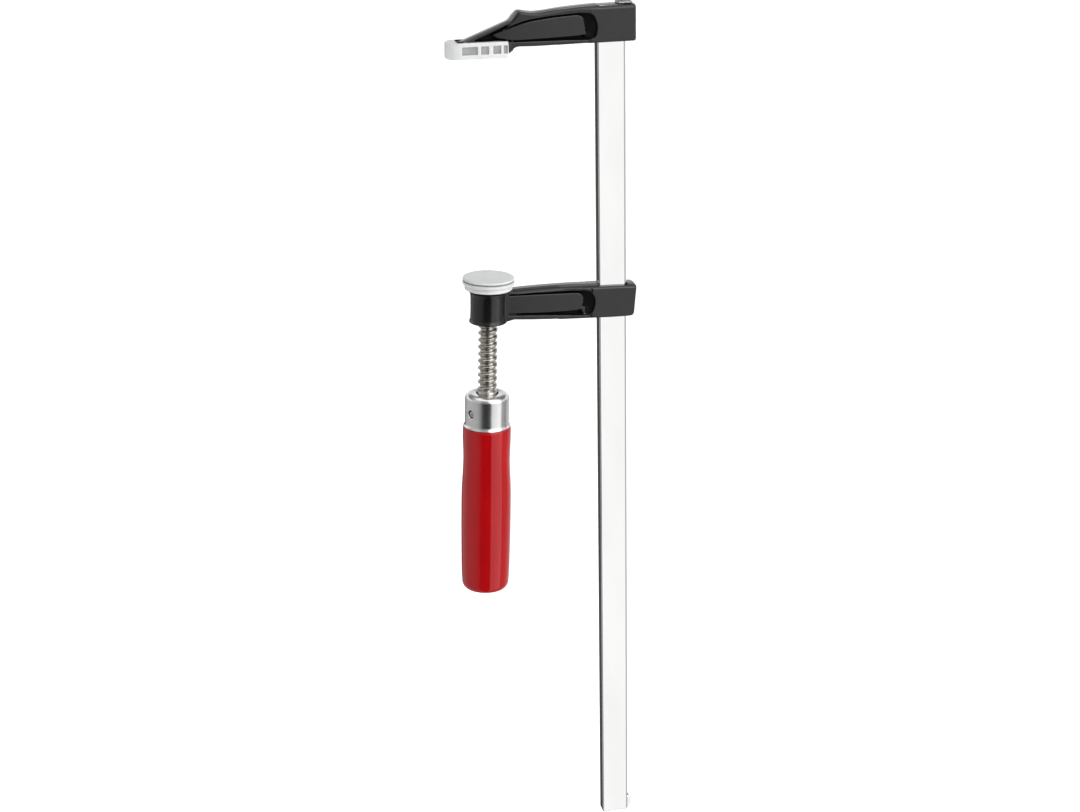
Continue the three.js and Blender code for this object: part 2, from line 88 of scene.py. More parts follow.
def formed(name, points, faces):
    """One mesh object from points in millimetres, closed and facing outwards."""
    mesh = bpy.data.meshes.new(name)
    mesh.from_pydata([Vector(point) * MM for point in points], [], faces)
    work = bmesh.new()
    work.from_mesh(mesh)
    bmesh.ops.remove_doubles(work, verts=work.verts, dist=0.002 * MM)
    bmesh.ops.recalc_face_normals(work, faces=work.faces)
    work.to_mesh(mesh)
    work.free()
    obj = bpy.data.objects.new(name, mesh)
    bpy.context.scene.collection.objects.link(obj)
    return obj


def skinned(name, rings):
    """A skin over rings of points, with an end face on the first and the last."""
    count = len(rings[0])
    faces = [tuple(range(count)), tuple(range((len(rings) - 1) * count, len(rings) * count))]
    for r in range(len(rings) - 1):
        for i in range(count):
            j = (i + 1) % count
            faces.append((r * count + i, r * count + j, (r + 1) * count + j, (r + 1) * count + i))
    return formed(name, [point for ring in rings for point in ring], faces)


def cast_form(name, corners, levels, steps=5):
    """A form in the rail's plane from its outline; levels give (depth, growth) from front to back."""
    outline = rounded(corners, steps)
    return skinned(name, [[(p.x, y, p.y) for p in grown(outline, by)] for y, by in levels])


def upright_form(name, corners, levels, steps=5):
    """An upright form from its plan outline; levels give (height, growth) from one end to the other."""
    outline = rounded(corners, steps)
    return skinned(name, [[(p.x, p.y, z) for p in grown(outline, by)] for z, by in levels])


def settled(obj):
    """The object with what its modifiers make put into its own mesh."""
    bpy.context.view_layer.update()
    graph = bpy.context.evaluated_depsgraph_get()
    made = bpy.data.meshes.new_from_object(obj.evaluated_get(graph))
    spent = obj.data
    obj.modifiers.clear()
    obj.data = made
    bpy.data.meshes.remove(spent)
    return obj


def worked(obj, operation, *tools):
    """Joins tools to an object, or cuts them out of it, and uses them up."""
    for tool in tools:
        step = obj.modifiers.new("work", "BOOLEAN")
        step.operation = operation
        step.solver = "MANIFOLD"
        step.object = tool
        settled(obj)
        bpy.data.objects.remove(tool)
    return obj


def smooth(obj, angle=32):
    """Smooth shading, with edges over the angle kept crisp."""
    obj.data.shade_smooth()
    obj.data.set_sharp_from_angle(angle=math.radians(angle))
    return obj


def wire(tree, kind, inputs=None, **settings):
    """One node of a tree, with its settings, and its inputs set or linked."""
    node = tree.nodes.new(kind)
    for key, value in settings.items():
        setattr(node, key, value)
    for key, value in (inputs or {}).items():
        if isinstance(value, bpy.types.NodeSocket):
            tree.links.new(value, node.inputs[key])
        else:
            node.inputs[key].default_value = value
    return node


def sum_of(tree, operation, *values):
    """A Math node's result."""
    return wire(tree, "ShaderNodeMath", dict(enumerate(values)), operation=operation).outputs[0]


def ramp(tree, fac, stops, interpolation="LINEAR"):
    """A colour ramp's colour, from stops of (place, grey or colour)."""
    node = wire(tree, "ShaderNodeValToRGB", {"Fac": fac})
    node.color_ramp.interpolation = interpolation
    elements = node.color_ramp.elements
    while len(elements) < len(stops):
        elements.new(1.0)
    for element, (place, value) in zip(elements, stops):
        element.position = place
        element.color = (*value, 1) if isinstance(value, tuple) else (value, value, value, 1)
    return node.outputs["Color"]


def speckle(tree, place, scale, detail=3.0, roughness=0.6, stretch=(1, 1, 1), shift=(0, 0, 0)):
    """Noise on a place, stretched where the finish runs one way."""
    mapping = wire(tree, "ShaderNodeMapping", {"Vector": place, "Scale": stretch, "Location": shift})
    inputs = {"Vector": mapping.outputs[0], "Scale": scale, "Detail": detail, "Roughness": roughness}
    return wire(tree, "ShaderNodeTexNoise", inputs).outputs["Fac"]


def effect(name, inputs, outputs):
    """An empty shader group with named number inputs and outputs, and its two end nodes."""
    group = bpy.data.node_groups.new(name, "ShaderNodeTree")
    for label, value in inputs.items():
        socket = group.interface.new_socket(name=label, in_out="INPUT", socket_type="NodeSocketFloat")
        socket.default_value = value
    for label in outputs:
        group.interface.new_socket(name=label, in_out="OUTPUT", socket_type="NodeSocketFloat")
    return group, group.nodes.new("NodeGroupInput").outputs, group.nodes.new("NodeGroupOutput").inputs


def use(tree, group, **values):
    """A group placed in a material, with this finish's own values."""
    node = wire(tree, "ShaderNodeGroup", node_tree=group)
    for label, value in values.items():
        node.inputs[label.replace("_", " ")].default_value = value
    return node.outputs


def finish(name, **sockets):
    """A material with its own shader; sockets that are the same all over are set on it."""
    material = bpy.data.materials.new(name)
    material.use_nodes = True
    shader = material.node_tree.nodes["Principled BSDF"]
    for label, value in sockets.items():
        shader.inputs[label.replace("_", " ")].default_value = value
    place = wire(material.node_tree, "ShaderNodeTexCoord").outputs["Object"]
    return material, material.node_tree, shader, place


def coated(obj, *materials):
    """Gives a piece its materials, the first one all over."""
    obj.data.materials.clear()
    for material in materials:
        obj.data.materials.append(material)
    for face in obj.data.polygons:
        face.material_index = 0
    return obj


def bump(tree, shader, height, strength, distance):
    """The finish's relief, on the shader's normal."""
    inputs = {"Height": height, "Strength": strength, "Distance": distance}
    tree.links.new(wire(tree, "ShaderNodeBump", inputs).outputs[0], shader.inputs["Normal"])


# Rubbed edges and edge sheen: how much a finish is lightened where the surface turns outward, for wear, and
# on the castings as a painted highlight.
edge_wear_and_sheen, given, result = effect("rubbed edges and edge sheen", {"Edge": 0.56, "Scale": 900.0, "Amount": 1.0}, ["Wear"])
turn = wire(edge_wear_and_sheen, "ShaderNodeNewGeometry").outputs["Pointiness"]
past = sum_of(edge_wear_and_sheen, "MULTIPLY", sum_of(edge_wear_and_sheen, "SUBTRACT", turn, given["Edge"]), 14.0)
grain_place = wire(edge_wear_and_sheen, "ShaderNodeTexCoord").outputs["Object"]
patch_inputs = {"Vector": grain_place, "Scale": given["Scale"], "Detail": 4.0}
patches = wire(edge_wear_and_sheen, "ShaderNodeTexNoise", patch_inputs)
rubbed = sum_of(edge_wear_and_sheen, "MULTIPLY_ADD", patches.outputs["Fac"], 1.6, -0.55)
wear_and_sheen = wire(edge_wear_and_sheen, "ShaderNodeMath", {0: past, 1: rubbed}, operation="MULTIPLY", use_clamp=True)
edge_wear_and_sheen.links.new(sum_of(edge_wear_and_sheen, "MULTIPLY", wear_and_sheen.outputs[0], given["Amount"]), result["Wear"])

# Drawn lines: fine marks along the axis of drawn, turned or brushed metal.
drawn_lines, given, result = effect("drawn lines", {"Along": 6.0, "Across": 1400.0}, ["Lines", "Streaks"])
place = wire(drawn_lines, "ShaderNodeTexCoord").outputs["Object"]
across, along = given["Across"], given["Along"]
spread = wire(drawn_lines, "ShaderNodeCombineXYZ", {0: across, 1: across, 2: along}).outputs[0]
run = wire(drawn_lines, "ShaderNodeVectorMath", {0: place, 1: spread}, operation="MULTIPLY").outputs[0]
line_inputs = {"Vector": run, "Scale": 1.0, "Detail": 4.0, "Roughness": 0.65}
fine = wire(drawn_lines, "ShaderNodeTexNoise", line_inputs)
broad = wire(drawn_lines, "ShaderNodeTexNoise", {"Vector": run, "Scale": 0.22, "Detail": 2.0})
drawn_lines.links.new(fine.outputs["Fac"], result["Lines"])
drawn_lines.links.new(broad.outputs["Fac"], result["Streaks"])


def rail_ring(z, growth):
    """The rail's section at one height."""
    y, inner, outer = rail_half + growth, rail_inner - growth, rail_outer + growth
    floor_start, floor_end = channel_inner + channel_flank, channel_outer - channel_flank
    corners = [(inner, -y, 0.8), (channel_inner, -y), (floor_start, channel_depth - y)]
    corners += [(floor_end, channel_depth - y), (channel_outer, -y)]
    corners += [(outer - rail_bevel, -y, 0.35), (outer, rail_bevel - y, 0.35)]
    corners += [(outer, y - rail_bevel, 0.35), (outer - rail_bevel, y, 0.35)]
    corners += [(channel_outer, y), (floor_end, y - channel_depth), (floor_start, y - channel_depth)]
    corners += [(channel_inner, y), (inner, y, 0.8)]
    return [(p.x, p.y, z) for p in rounded(corners, 6)]


ends = [(rail_foot, -0.5), (rail_foot + 0.2, -0.16), (rail_foot + 0.55, 0), (rail_foot + 1.4, 0)]
ends += [(-572, 0), (-560, 0), (0, 0), (20, 0)]
ends += [(jaw_top - 1.2, 0), (jaw_top - 0.35, 0), (jaw_top - 0.1, -0.1), (jaw_top, -0.35)]
rail_bar = skinned("rail_bar", [rail_ring(z, growth) for z, growth in ends])
neck = [(95, -4.2, 0.5), (99.2, -4.2, 0.5), (99.2, 4.2, 0.5), (95, 4.2, 0.5)]
peened_neck = upright_form("peened neck", neck, [(29, 0), (32.6, 0)], 3)
peened_side = [(94.2, -5, 1.8), (104.9, -4.8, 2.4), (104.9, 4.8, 2.4), (94.2, 5, 1.8)]
peened_levels = [(31.62, -0.7), (31.8, -0.2), (32.1, 0), (32.55, -0.05), (32.95, -0.3), (33.2, -0.75)]
peened_levels += [(33.32 + 0.01 * k, -1.2 - 0.45 * k) for k in range(7)]
rings = []
for z, growth in peened_levels:
    ring = grown(rounded(peened_side, 10), growth)
    dents = [0.42 * max(0, noise.noise(Vector((p.x * 0.42, p.y * 0.42, 0.3)))) for p in ring]
    rings.append([(p.x, p.y, z - dent) for p, dent in zip(ring, dents)])
peened_end = skinned("peened end", rings)
stop_side = [(96, -590.6), (100.3, -590.9, 0.5), (102.5, -586.9, 1.3), (101.6, -580.2, 0.7), (96, -580.2)]
stop_levels = [(-3.5, -0.5), (-3.1, -0.1), (-2.6, 0), (2.6, 0), (3.1, -0.1), (3.5, -0.5)]
stop_lug = cast_form("stop lug", stop_side, stop_levels)
notch_side = [(99, -580.3), (104, -580.3), (104, -577.4), (100.05, -577.7)]
notch = cast_form("stop notch", notch_side, [(-3.6, 0), (3.6, 0)])
worked(rail_bar, "DIFFERENCE", notch)
worked(rail_bar, "UNION", peened_neck, peened_end, stop_lug)
smooth(rail_bar, 30)

rail_steel, tree, shader, place = finish("bright drawn steel", Metallic=1.0)
marks = use(tree, drawn_lines, Along=5.0, Across=900.0)
smear = speckle(tree, place, 26.0, 4.0, stretch=(1, 1, 0.3))
bright = ramp(tree, smear, [(0.3, (0.86, 0.862, 0.855)), (0.7, (0.93, 0.93, 0.922))])
tree.links.new(bright, shader.inputs["Base Color"])
satin = sum_of(tree, "MULTIPLY_ADD", smear, 0.06, 0.08)
satin = sum_of(tree, "MULTIPLY_ADD", marks["Streaks"], 0.08, satin)
tree.links.new(satin, shader.inputs["Roughness"])
bump(tree, shader, marks["Lines"], 0.25, 0.00003)
hammered_steel, tree, shader, place = finish("hammered steel", Metallic=1.0)
blows = speckle(tree, place, 500.0, 3.0)
dull = ramp(tree, blows, [(0.3, (0.2, 0.2, 0.2)), (0.7, (0.36, 0.36, 0.355))])
tree.links.new(dull, shader.inputs["Base Color"])
tree.links.new(sum_of(tree, "MULTIPLY_ADD", blows, 0.2, 0.35), shader.inputs["Roughness"])
bump(tree, shader, blows, 0.4, 0.0002)
coated(rail_bar, rail_steel, hammered_steel)
for face in rail_bar.data.polygons:
    if face.center.z > (jaw_top + 0.06) * MM:
        face.material_index = 1
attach(rail_bar, "frame")
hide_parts("rail")

# Fixed jaw: one malleable iron casting, pressed on the rail's end and held by its hammered top. It has
# drafted flanges round a sunk web, a bare raised panel on each side, and semi-gloss black paint.

web_half = 2.5
cast_grain = 0.36 * MM


def gathered(name, *parts):
    """Loose bodies of one piece gathered into one mesh."""
    work = bmesh.new()
    for part in parts:
        work.from_mesh(part.data)
        bpy.data.objects.remove(part)
    mesh = bpy.data.meshes.new(name)
    work.to_mesh(mesh)
    work.free()
    obj = bpy.data.objects.new(name, mesh)
    bpy.context.scene.collection.objects.link(obj)
    return obj


def cast_skin(name, *forms, rounds=5):
    """Melts a casting's forms into one skin, with the small fillets that sand leaves."""
    obj = gathered(name, *forms)
    melt = obj.modifiers.new("melt", "REMESH")
    melt.mode = "VOXEL"
    melt.voxel_size = cast_grain
    ease = obj.modifiers.new("ease", "SMOOTH")
    ease.factor = 0.5
    ease.iterations = rounds
    return settled(obj)


def facing_pair(name, corners, draft, steps=6):
    """The same form on the front and on the back of a casting; the draft's depths run outward."""
    return tuple(cast_form(name, corners, [(side * y, by) for y, by in draft], steps) for side in (-1, 1))


jaw_side = [(-18, 2.6), (-18, 10.6, 0.5), (-12.6, 10.9, 1), (19.4, 23.3, 1.6), (22.2, 26.9, 1.2),
            (25.4, 30, 1.6), (29, 29.6, 1.6), (35, 28.2, 4.5), (43, 28.7, 3), (52, 29.8, 6), (66, 30.8, 3),
            (81, 31.5), (81, 6.1), (60, 5.9, 4), (36, 5.7, 4), (24.6, 6.1, 1.2), (21.8, 5.2, 0.8),
            (20.6, 3, 1.0), (18.6, 2.6)]
arm_draft = [(-7, -1.0), (-6.5, -0.5), (-5.2, -0.2), (0, 0.35), (5.6, -0.05), (6.6, -0.2), (7, -0.5)]
head_draft = [(-8.1, -1.8), (-7.6, -1.0), (-6.6, -0.4), (-5, -0.1), (0, 0.25), (7.2, -0.1), (7.8, -0.2),
              (8.1, -0.5)]


def flared(side, start, foot, top):
    """The end of an arm, thickening to its head in a straight taper on both faces."""
    plan = [(start, -6.6), (77, -8.15), (84, -8.15), (84, 8.15), (77, 8.15), (start, 6.6)]
    wedge = skinned("flare", [[(x, y, z) for x, y in plan] for z in (foot, top)])
    return worked(wedge, "INTERSECT", cast_form("flare side", side, head_draft))


def scooped(plan, foot, top):
    """The floor at a pocket's end, rising to the head; the plan gives places and depths."""
    return tuple(skinned("scoop", [[(x, s * y, z) for x, y in plan] for z in (foot, top)]) for s in (-1, 1))


jaw_arm = cast_form("jaw arm", jaw_side, arm_draft)
pad_side = [(-20.5, -8, 7), (19, -8, 0.8), (19, 8, 0.8), (-20.5, 8, 7)]
jaw_pad = upright_form("jaw pad", pad_side, [(2.6, -0.4), (3.1, 0), (7, 0), (7.5, -0.4)], 8)
jaw_head_side = [(73, 5.8), (107.1, 5.9, 2.2), (107.1, 31.4, 2.0), (73, 31.1)]
jaw_head = cast_form("jaw head", jaw_head_side, head_draft)
worked(jaw_arm, "UNION", flared(jaw_side, 52, 0, 40), jaw_head)
jaw_pocket_side = [(-7.4, 11.5), (5.2, 16.6), (16.6, 21.3, 0.8), (19, 21.5, 0.7), (16.2, 19.5),
                   (14.2, 18.2), (21.5, 21.4), (31, 24.2, 4), (48.3, 26.2, 6), (68.5, 27.2, 3),
                   (75.6, 26.4, 3), (78.7, 21.5, 3), (79.1, 15.9, 3), (78.1, 10.6, 2), (73.4, 8.9, 1.5),
                   (48, 9.3), (22.1, 9.6), (4, 11.2)]
pocket_draft = [(web_half, -0.5), (5.2, -0.12), (7.2, 0.1), (12, 0.1)]
worked(jaw_arm, "DIFFERENCE", *facing_pair("jaw pocket", jaw_pocket_side, pocket_draft))
jaw_forms = scooped([(68, 1.5), (69.5, 2.4), (73, 3.4), (79.6, 6.3), (80.5, 6.3), (80.5, 1.5)], 8, 28)
panel_draft = [(1.5, 0.5), (web_half, 0.35), (5.4, 0), (5.9, -0.25)]
jaw_panel_side = [(6.6, 15.2, 0.7), (13.9, 17.5, 2), (21.7, 20.1, 3), (31.2, 22.8, 4), (48.5, 24.9, 6),
                  (66.4, 25.9, 2), (69.8, 24.2, 2), (70.8, 19.5, 4), (70.6, 14.5, 2), (72.4, 12.4, 1.5),
                  (66.8, 11.5, 2), (48.3, 10.9, 6), (22.3, 10.4, 4), (13, 11.6, 3), (8, 13.6, 1)]
jaw_forms += facing_pair("jaw panel", jaw_panel_side, panel_draft)
corner_draft = [(1.5, 0.6), (web_half, 0.5), (4.4, 0), (5.4, -0.9)]
jaw_corner_side = [(70, 14.5), (79, 11.6), (78, 8), (70, 10.4)]
jaw_forms += facing_pair("pocket corner", jaw_corner_side, corner_draft, 4)
jaw_casting = cast_skin("jaw_casting", jaw_arm, *jaw_forms, jaw_pad)
slot_side = [(79.9, -5.1, 0.8), (100.1, -5.1, 0.8), (100.1, 5.1, 0.8), (79.9, 5.1, 0.8)]
worked(jaw_casting, "DIFFERENCE", upright_form("jaw slot", slot_side, [(4, 0), (35, 0)], 4))
smooth(jaw_casting, 40)

black_paint, tree, shader, place = finish("black paint on a cast skin", IOR=1.53)
skin_coarse = speckle(tree, place, 420.0, 3.0)
skin_fine = speckle(tree, place, 1500.0, 2.0)
flow = speckle(tree, place, 90.0, 3.0)
# The castings' edges turn grey as a painted highlight, standing in for the light their rounded edges catch.
edge_mask = use(tree, edge_wear_and_sheen, Edge=0.555, Scale=1300.0, Amount=0.5)["Wear"]
paint_colour = ramp(tree, flow, [(0.3, (0.0026, 0.0026, 0.0028)), (0.7, (0.0045, 0.0045, 0.0048))])
casting_edge_sheen = wire(tree, "ShaderNodeMix", {0: edge_mask, 6: paint_colour, 7: (0.05, 0.05, 0.052, 1)}, data_type="RGBA")
tree.links.new(casting_edge_sheen.outputs[2], shader.inputs["Base Color"])
gloss = sum_of(tree, "MULTIPLY_ADD", skin_coarse, 0.16, sum_of(tree, "MULTIPLY_ADD", flow, 0.1, 0.1))
tree.links.new(gloss, shader.inputs["Roughness"])
relief = sum_of(tree, "MULTIPLY_ADD", skin_fine, 0.35, skin_coarse)
bump(tree, shader, relief, 0.4, 0.00012)
# The pockets' paint reflects little and is a touch darker: painted shade where the flanges hide the pocket
# floors, with some dust.
pocket_painted_shade, tree, shader, place = finish("paint darkened in the pockets as painted shade", Roughness=0.7, Specular_IOR_Level=0.12)
dust = speckle(tree, place, 300.0, 4.0)
tree.links.new(ramp(tree, dust, [(0.3, 0.0022), (0.75, 0.0045)]), shader.inputs["Base Color"])
bump(tree, shader, dust, 0.4, 0.00014)


floor_depth, floor_rise = 5, 1.2
rise_start, rise_length = 66, 9


def painted(obj, pocket_side):
    """Paint all over a casting, dull and dark in the depth of its pockets as painted shade, with some dust.
    """
    coated(obj, black_paint, pocket_painted_shade)
    edge = grown(rounded(pocket_side, 6), -0.1)
    for face in obj.data.polygons:
        x, y, z = face.center / MM
        if abs(y) > floor_depth + floor_rise * max(0, (x - rise_start) / rise_length):
            continue
        inside = False
        for a, b in zip(edge, edge[1:] + edge[:1]):
            if (a.y > z) != (b.y > z) and x < a.x + (z - a.y) * (b.x - a.x) / (b.y - a.y):
                inside = not inside
        face.material_index = int(inside)
    return obj


painted(jaw_casting, jaw_pocket_side)
rail_bar.data.materials.append(black_paint)
for face in rail_bar.data.polygons:
    if jaw_top - 0.4 < face.center.z / MM < jaw_top + 0.05:
        face.material_index = 2
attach(jaw_casting, "frame")
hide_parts("fixed_jaw")

# Jaw cap: a boot of soft translucent plastic, moulded in one piece and pushed over the jaw's pad from
# the nose. Its thick nose and rims look white, and the dark pad greys the thin sunk windows.

boot_outer = [(-25, -10, 9), (17.2, -10, 0.8), (17.2, 10, 0.8), (-25, 10, 9)]
boot_levels = [(0, -0.7), (0.15, -0.3), (0.5, -0.06), (1, 0)]
boot_levels += [(9.6, -0.15), (10.5, -0.35), (10.85, -0.6), (11, -1)]
jaw_boot = upright_form("jaw_boot", boot_outer, boot_levels, 10)
pad_room_side = [(-20.8, -8.3, 7), (22, -8.3), (22, 8.3), (-20.8, 8.3, 7)]
pad_room = upright_form("pad room", pad_room_side, [(2.3, 0), (7.8, 0)], 8)
arm_room_side = [(-17.4, -7.4, 2.4), (22, -7.4), (22, 7.4), (-17.4, 7.4, 2.4)]
arm_room = upright_form("arm room", arm_room_side, [(5, 0), (14, 0)], 6)
worked(jaw_boot, "DIFFERENCE", pad_room, arm_room)
windows = [(-14.9, -4), (-1.9, 3.6), (6.4, 12), (13.6, 16.5)]
window_foot, window_top, window_floor = 2.9, 8.5, 9.15
window_draft = [(window_floor, -0.12), (10, 0), (12, 0.2)]
for start, end in windows:
    window_side = [(start, window_foot, 0.5), (end, window_foot, 0.5)]
    window_side += [(end, window_top, 0.5), (start, window_top, 0.5)]
    worked(jaw_boot, "DIFFERENCE", *facing_pair("window", window_side, window_draft, 4))
soften = jaw_boot.modifiers.new("soften", "BEVEL")
soften.width = 0.22 * MM
soften.segments = 2
soften.limit_method = "ANGLE"
soften.angle_limit = math.radians(40)
settled(jaw_boot)
smooth(jaw_boot, 35)

clear_plastic, tree, shader, place = finish("soft white plastic", Transmission_Weight=0.35, IOR=1.5)
cloud = speckle(tree, place, 160.0, 3.0)
skin = speckle(tree, place, 1100.0, 2.0)
milk = ramp(tree, cloud, [(0.3, (0.64, 0.645, 0.645)), (0.7, (0.71, 0.715, 0.715))])
tree.links.new(milk, shader.inputs["Base Color"])
tree.links.new(sum_of(tree, "MULTIPLY_ADD", skin, 0.14, 0.34), shader.inputs["Roughness"])
bump(tree, shader, sum_of(tree, "MULTIPLY_ADD", cloud, 0.5, skin), 0.15, 0.00008)
window_plastic, tree, shader, place = finish("thin white plastic over the dark pad", IOR=1.5)
cloud = speckle(tree, place, 260.0, 3.0)
greyed = ramp(tree, cloud, [(0.25, (0.185, 0.188, 0.191)), (0.75, (0.25, 0.253, 0.256))])
tree.links.new(greyed, shader.inputs["Base Color"])
tree.links.new(sum_of(tree, "MULTIPLY_ADD", cloud, 0.2, 0.34), shader.inputs["Roughness"])
bump(tree, shader, cloud, 0.1, 0.0001)
coated(jaw_boot, clear_plastic, window_plastic)
for face in jaw_boot.data.polygons:
    x, y, z = face.center / MM
    facing = abs(face.normal.y) > 0.8 and window_floor - 0.15 < abs(y) < window_floor + 0.25
    if facing and window_foot < z < window_top and any(start < x < end for start, end in windows):
        face.material_index = 1
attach(jaw_boot, "boot")
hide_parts("jaw_cap")

# Sliding arm: the second iron casting, painted like the jaw. Its head rides on the rail with a little
# play, and its round boss is bored and threaded for the screw. It hangs two degrees out of square.

arm_place = -188.3
toe_in = Matrix.Translation((0, 0, arm_place * MM)) @ Matrix.Rotation(math.radians(2), 4, "Y")
lead = 5.2
crest_radius = 6.8
thread_depth = 1.6
crest_share, root_share = 0.2, 0.86


def carried(obj):
    """Puts a piece made square to the arm in its place on the rail."""
    obj.data.transform(toe_in)
    return obj


def turned(name, profile, sides=72):
    """A turned piece from its profile of (radius, height), from axis to axis or closed on itself."""
    closed = profile[0] == profile[-1]
    rows = profile[:-1] if closed else profile
    points = []
    for radius, height in rows:
        for k in range(sides):
            angle = 2 * math.pi * k / sides
            points.append((radius * math.cos(angle), radius * math.sin(angle), height))
    faces = []
    for r in range(len(rows) if closed else len(rows) - 1):
        low, high = r * sides, ((r + 1) % len(rows)) * sides
        for k in range(sides):
            faces.append((low + k, low + (k + 1) % sides, high + (k + 1) % sides, high + k))
    if not closed:
        faces += [tuple(range(sides)), tuple(range((len(rows) - 1) * sides, len(rows) * sides))]
    return formed(name, points, faces)


def arc(centre, radius, start, end, steps):
    """Points of (radius, height) on an arc between two angles in degrees from the horizontal."""
    angles = [math.radians(start + (end - start) * i / steps) for i in range(steps + 1)]
    return [(centre[0] + radius * math.cos(a), centre[1] + radius * math.sin(a)) for a in angles]


# Rolled thread: a sheet of rows and columns wrapped round the axis, its radius set by turn and height.
thread_rule = bpy.data.node_groups.new("rolled thread", "GeometryNodeTree")
kinds = dict.fromkeys(["Foot", "Top", "Crest", "Depth", "Lead", "Crest Share", "Run Out"], "NodeSocketFloat")
kinds.update({"Sides": "NodeSocketInt", "Rows": "NodeSocketInt", "Finish": "NodeSocketMaterial"})
thread_inputs = {}
for label, kind in kinds.items():
    thread_inputs[label] = thread_rule.interface.new_socket(name=label, in_out="INPUT", socket_type=kind)
thread_rule.interface.new_socket(name="Geometry", in_out="OUTPUT", socket_type="NodeSocketGeometry")
asked = thread_rule.nodes.new("NodeGroupInput").outputs
length = sum_of(thread_rule, "SUBTRACT", asked["Top"], asked["Foot"])
columns = sum_of(thread_rule, "ADD", asked["Sides"], 1)
sheet_inputs = {"Size X": 1.0, "Size Y": 1.0, "Vertices X": columns, "Vertices Y": asked["Rows"]}
sheet = wire(thread_rule, "GeometryNodeMeshGrid", sheet_inputs).outputs["Mesh"]
flat_place = wire(thread_rule, "GeometryNodeInputPosition").outputs[0]
spot = wire(thread_rule, "ShaderNodeSeparateXYZ", {0: flat_place}).outputs
round_share = sum_of(thread_rule, "ADD", spot["X"], 0.5)
up_share = sum_of(thread_rule, "ADD", spot["Y"], 0.5)
height = sum_of(thread_rule, "MULTIPLY_ADD", up_share, length, asked["Foot"])
turns = sum_of(thread_rule, "SUBTRACT", sum_of(thread_rule, "DIVIDE", height, asked["Lead"]), round_share)
from_crest = sum_of(thread_rule, "SUBTRACT", turns, sum_of(thread_rule, "ROUND", turns))
off_crest = sum_of(thread_rule, "MULTIPLY", sum_of(thread_rule, "ABSOLUTE", from_crest), 2.0)
flank = {"Value": off_crest, "From Min": asked["Crest Share"], "From Max": root_share,
         "To Max": asked["Depth"]}
sunk = wire(thread_rule, "ShaderNodeMapRange", flank, interpolation_type="SMOOTHSTEP").outputs["Result"]
from_foot = sum_of(thread_rule, "SUBTRACT", height, asked["Foot"])
from_top = sum_of(thread_rule, "SUBTRACT", asked["Top"], height)
nearest = sum_of(thread_rule, "DIVIDE", sum_of(thread_rule, "MINIMUM", from_foot, from_top), asked["Run Out"])
full = wire(thread_rule, "ShaderNodeMath", {0: nearest, 1: 1.0}, operation="MINIMUM", use_clamp=True)
cut = sum_of(thread_rule, "MULTIPLY", sunk, full.outputs[0])
radius = sum_of(thread_rule, "SUBTRACT", asked["Crest"], cut)
angle = sum_of(thread_rule, "MULTIPLY", round_share, 2 * math.pi)
out_x = sum_of(thread_rule, "MULTIPLY", radius, sum_of(thread_rule, "COSINE", angle))
out_y = sum_of(thread_rule, "MULTIPLY", radius, sum_of(thread_rule, "SINE", angle))
wrapped = wire(thread_rule, "ShaderNodeCombineXYZ", {"X": out_x, "Y": out_y, "Z": height}).outputs[0]
placed = wire(thread_rule, "GeometryNodeSetPosition", {"Geometry": sheet, "Position": wrapped}).outputs[0]
seam = {"Geometry": placed, "Distance": 0.000001}
welded = wire(thread_rule, "GeometryNodeMergeByDistance", seam).outputs[0]
real = wire(thread_rule, "GeometryNodeRealizeInstances", {"Geometry": welded}).outputs[0]
shown = wire(thread_rule, "GeometryNodeSetMaterial", {"Geometry": real, "Material": asked["Finish"]})
thread_rule.links.new(shown.outputs[0], thread_rule.nodes.new("NodeGroupOutput").inputs["Geometry"])


def thread(name, foot, top, crest, run_out, sides, rows, finish_of):
    """A threaded length with closed ends, from the rule above; lengths are in millimetres."""
    obj = formed(name, [(0, 0, 0)], [])
    rule = obj.modifiers.new("thread", "NODES")
    rule.node_group = thread_rule
    values = {"Foot": foot * MM, "Top": top * MM, "Crest": crest * MM, "Depth": thread_depth * MM,
              "Lead": lead * MM, "Crest Share": crest_share, "Run Out": run_out * MM,
              "Sides": sides, "Rows": rows, "Finish": finish_of}
    for label, value in values.items():
        rule[thread_inputs[label].identifier] = value
    settled(obj)
    work = bmesh.new()
    work.from_mesh(obj.data)
    bmesh.ops.holes_fill(work, edges=[e for e in work.edges if e.is_boundary], sides=0)
    bmesh.ops.recalc_face_normals(work, faces=work.faces)
    work.to_mesh(obj.data)
    work.free()
    return obj


arm_side = [(6, 2.2), (13.5, 2.2, 2), (30, 1.5, 4), (47, 1.1, 4), (80, 1.0), (80, 24.6), (60, 24.9, 6),
            (47, 24.7, 6), (32, 24.1, 5), (18.8, 23.2, 3), (13, 22.4, 1), (6, 22.4)]
body_draft = [(-7, -1.6), (-6.5, -0.9), (-5.4, -0.35), (-3.5, -0.05), (0, 0.3), (6, 0), (7, -0.4)]
arm_body = cast_form("arm body", arm_side, body_draft)
arm_head_side = [(72, 1.1), (90, 1.0, 6), (105.2, 1.5, 3.2), (106.6, 24.6, 2.0), (92, 25.0, 6), (72, 24.8)]
arm_head = cast_form("arm head", arm_head_side, [(y * 8.3 / 8.1, by) for y, by in head_draft])
worked(arm_body, "UNION", flared(arm_side, 50, -5, 40), arm_head)
arm_pocket_side = [(13, 21.2), (37.5, 21.8, 5), (64, 22.2, 3), (71.6, 21.6, 3), (75.4, 17.5, 3.2),
                   (75.6, 11, 3), (74.2, 6.4, 2.4), (71.4, 4.2, 1.6), (64, 3.9, 4), (38, 5.1, 6), (13, 5.9)]
worked(arm_body, "DIFFERENCE", *facing_pair("arm pocket", arm_pocket_side, pocket_draft))
arm_forms = scooped([(65, 1.5), (66.5, 2.4), (70, 3.4), (76.2, 6.2), (77.5, 6.2), (77.5, 1.5)], 3, 23)
